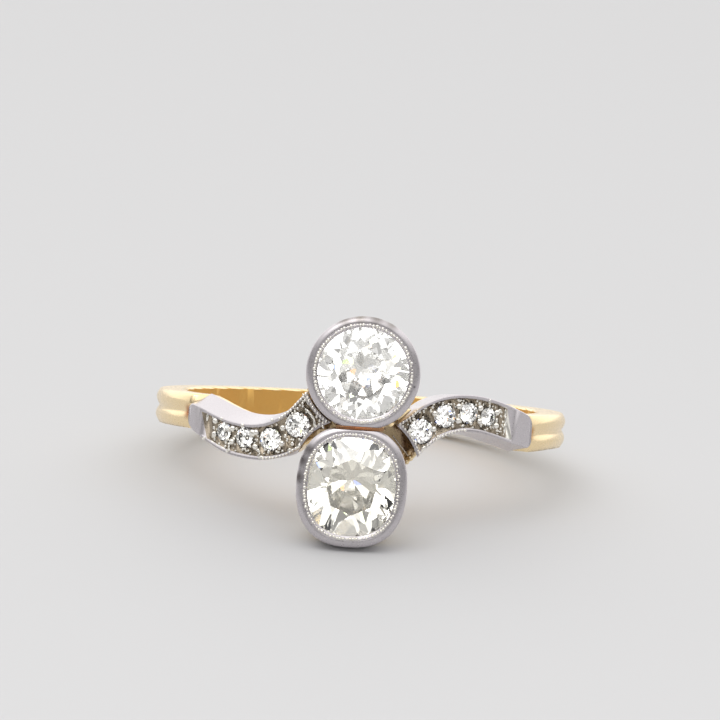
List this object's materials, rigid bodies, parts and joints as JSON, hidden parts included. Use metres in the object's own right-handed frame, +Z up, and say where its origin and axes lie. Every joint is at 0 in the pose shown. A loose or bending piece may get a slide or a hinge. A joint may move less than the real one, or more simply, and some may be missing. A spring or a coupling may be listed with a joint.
{
  "type": "toi et moi ring",
  "caption": "Toi et moi ring with a round and a cushion stone in milgrained bezels, S-shaped stone-set platinum shoulders and a reeded gold band.",
  "frame": {"origin": "bottom centre of the ring's box as the ring lies on its side, on the surface that it rests on", "axes": "+Z up; +Y from the heads to the back of the band; +X to the right when the stones are looked at"},
  "size_m": [0.0198, 0.0228, 0.0106],
  "materials": {
    "gold": "polished yellow gold",
    "platinum": "polished platinum",
    "diamond": "polished facets"
  },
  "bodies": {
    "root": {"gold_mount": "gold", "left_shoulder": "platinum", "right_shoulder": "platinum", "upper_bezel": "platinum", "lower_bezel": "platinum", "upper_diamond": "diamond", "lower_diamond": "diamond", "left_diamond_1": "diamond", "left_diamond_2": "diamond", "left_diamond_3": "diamond", "left_diamond_4": "diamond", "right_diamond_1": "diamond", "right_diamond_2": "diamond", "right_diamond_3": "diamond", "right_diamond_4": "diamond"}
  },
  "joints": []
}
